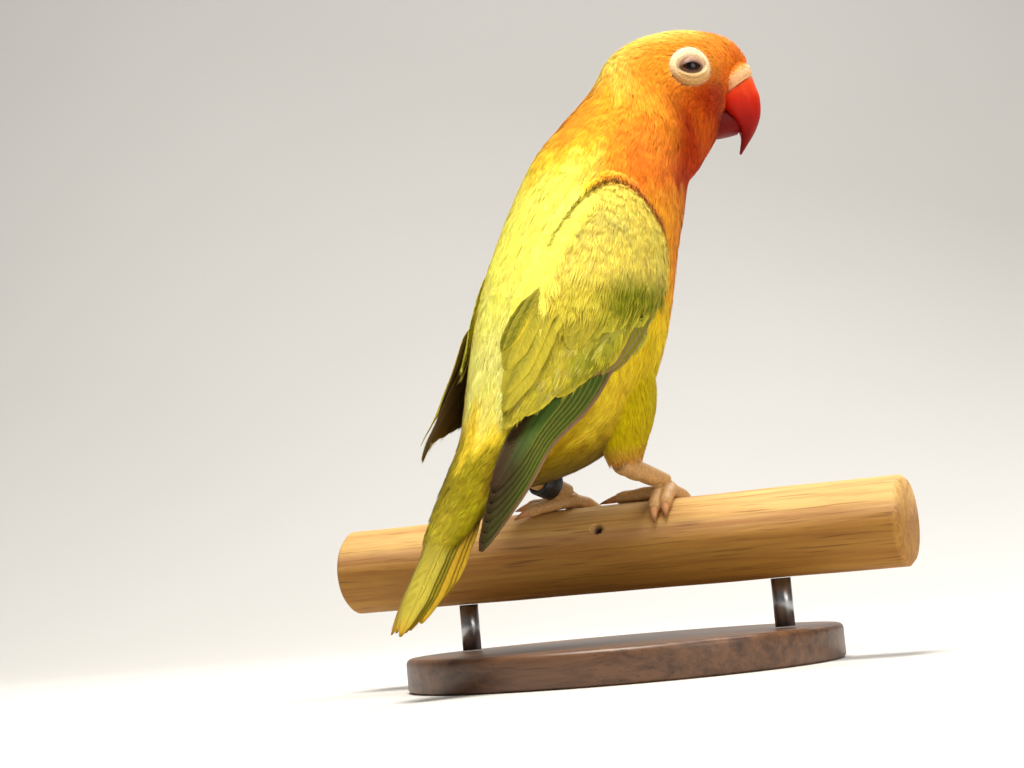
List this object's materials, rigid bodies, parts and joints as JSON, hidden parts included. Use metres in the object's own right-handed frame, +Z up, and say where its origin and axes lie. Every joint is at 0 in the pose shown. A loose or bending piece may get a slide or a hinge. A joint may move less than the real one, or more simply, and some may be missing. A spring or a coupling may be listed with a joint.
{
  "type": "fischer's lovebird, yellow variety, on a perch",
  "caption": "Still, life-size lovebird seen over its back: yellow body, orange face, white eye rings and red bill, gripping a short wooden dowel on a round stand.",
  "frame": {"origin": "centre of the underside of the round base, on the surface that it stands on", "axes": "+Z up; X along the dowel; the bird's breast points 70 degrees round from +X towards +Y, and its head is turned to its own right"},
  "size_m": [0.124, 0.1033, 0.1382],
  "materials": {
    "yellow_plumage": "soft, matt feathers",
    "orange_plumage": "short, velvety feathers",
    "wing_plumage": "satin, stiff feathers",
    "tail_plumage": "satin, stiff feathers",
    "bill_red": "waxy horn",
    "bill_dark": "waxy horn",
    "cere": "bare skin",
    "eye": "wet gloss",
    "eye_ring": "bare, wrinkled skin",
    "foot_skin": "scaly skin",
    "claw": "horn",
    "ring_black": "black, slightly worn",
    "perch_wood": "bare, worn hardwood",
    "stand_wood": "waxed dark hardwood",
    "stand_steel": "satin"
  },
  "bodies": {
    "root": {"torso": "yellow_plumage", "neck": "orange_plumage", "head": "orange_plumage", "bill_upper": "bill_red", "bill_lower": "bill_dark", "cere": "cere", "eye_left": "eye", "eye_right": "eye", "eye_ring_left": "eye_ring", "eye_ring_right": "eye_ring", "wing_left": "wing_plumage", "wing_right": "wing_plumage", "tail": "tail_plumage", "thigh_left": "yellow_plumage", "thigh_right": "yellow_plumage", "shank_left": "foot_skin", "shank_right": "foot_skin", "foot_left": "foot_skin", "foot_right": "foot_skin", "claw_rear_outer_left": "claw", "claw_rear_inner_left": "claw", "claw_front_inner_left": "claw", "claw_front_outer_left": "claw", "claw_rear_outer_right": "claw", "claw_rear_inner_right": "claw", "claw_front_inner_right": "claw", "claw_front_outer_right": "claw", "leg_ring": "ring_black", "perch": "perch_wood", "stand_base": "stand_wood", "stand_rod_left": "stand_steel", "stand_rod_right": "stand_steel"}
  },
  "joints": []
}
